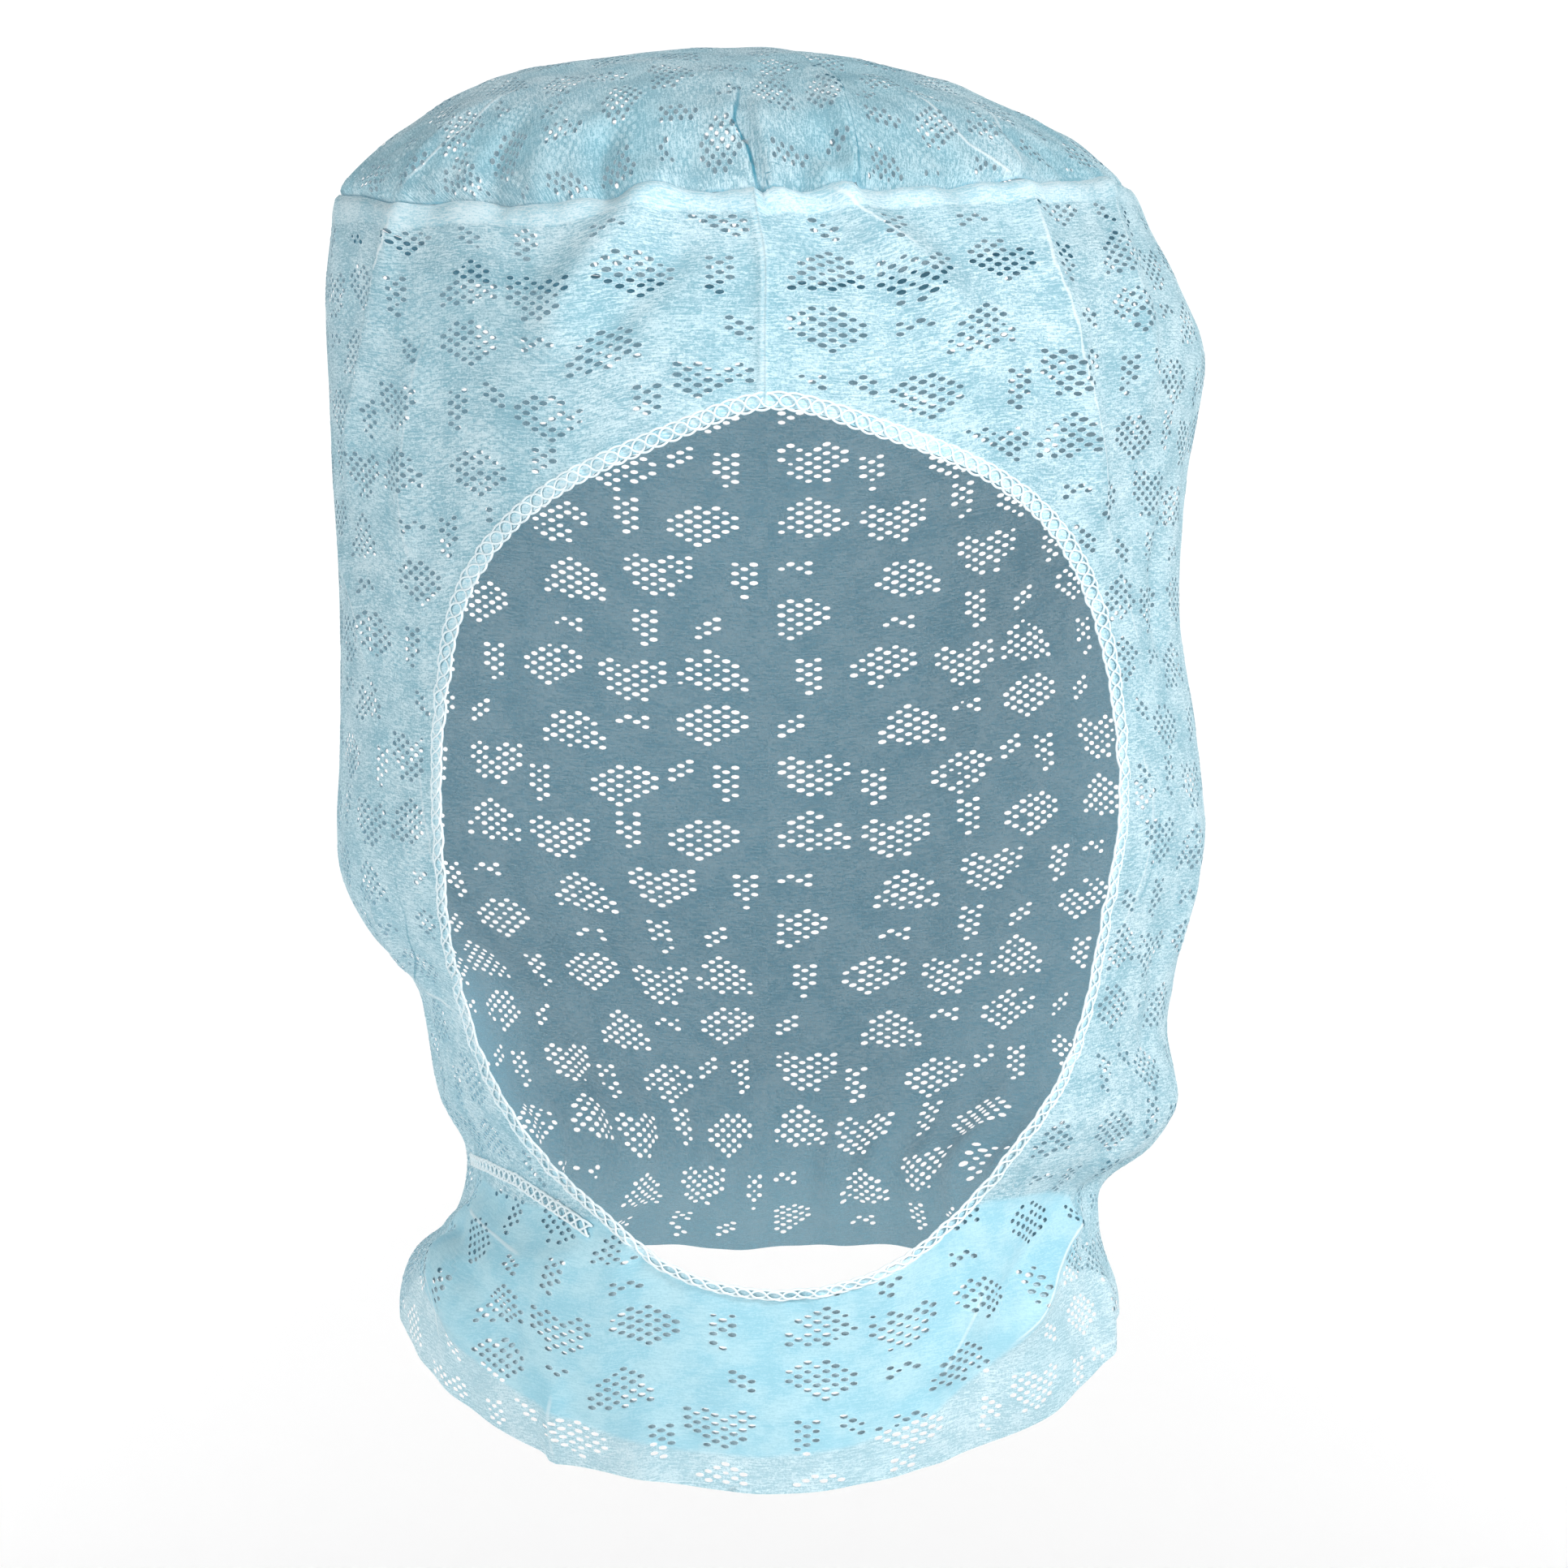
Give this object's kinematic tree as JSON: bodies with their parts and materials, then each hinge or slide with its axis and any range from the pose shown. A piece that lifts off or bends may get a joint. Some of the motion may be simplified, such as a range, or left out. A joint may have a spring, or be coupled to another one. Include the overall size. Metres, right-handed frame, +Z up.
{
  "type": "astronaut hood",
  "caption": "Pull-on head and neck hood of thin pale blue apertured nonwoven, worn form, with a seamed crown, a round face opening with an overlocked edge and a bib under the chin.",
  "frame": {"origin": "where the top of a wearer's head touches the inside of the crown panel", "axes": "+Z up through the crown, -Y the way the wearer faces, +X towards the wearer's left"},
  "size_m": [0.1765, 0.209, 0.2852],
  "materials": {
    "apertured_nonwoven": "matt spunlaced viscose nonwoven, thin enough to show light through, pale cyan",
    "doubled_nonwoven": "the same nonwoven seen two layers deep, so a stronger cyan",
    "overlock_thread": "soft matt textured polyester thread over the cut edge, nearly white"
  },
  "bodies": {
    "root": {"wrap_panel": "apertured_nonwoven", "crown_panel": "apertured_nonwoven", "crown_seam_allowance": "doubled_nonwoven", "front_seam": "doubled_nonwoven", "face_edge": "overlock_thread", "throat_ply": "doubled_nonwoven", "throat_seam": "overlock_thread"}
  },
  "joints": []
}
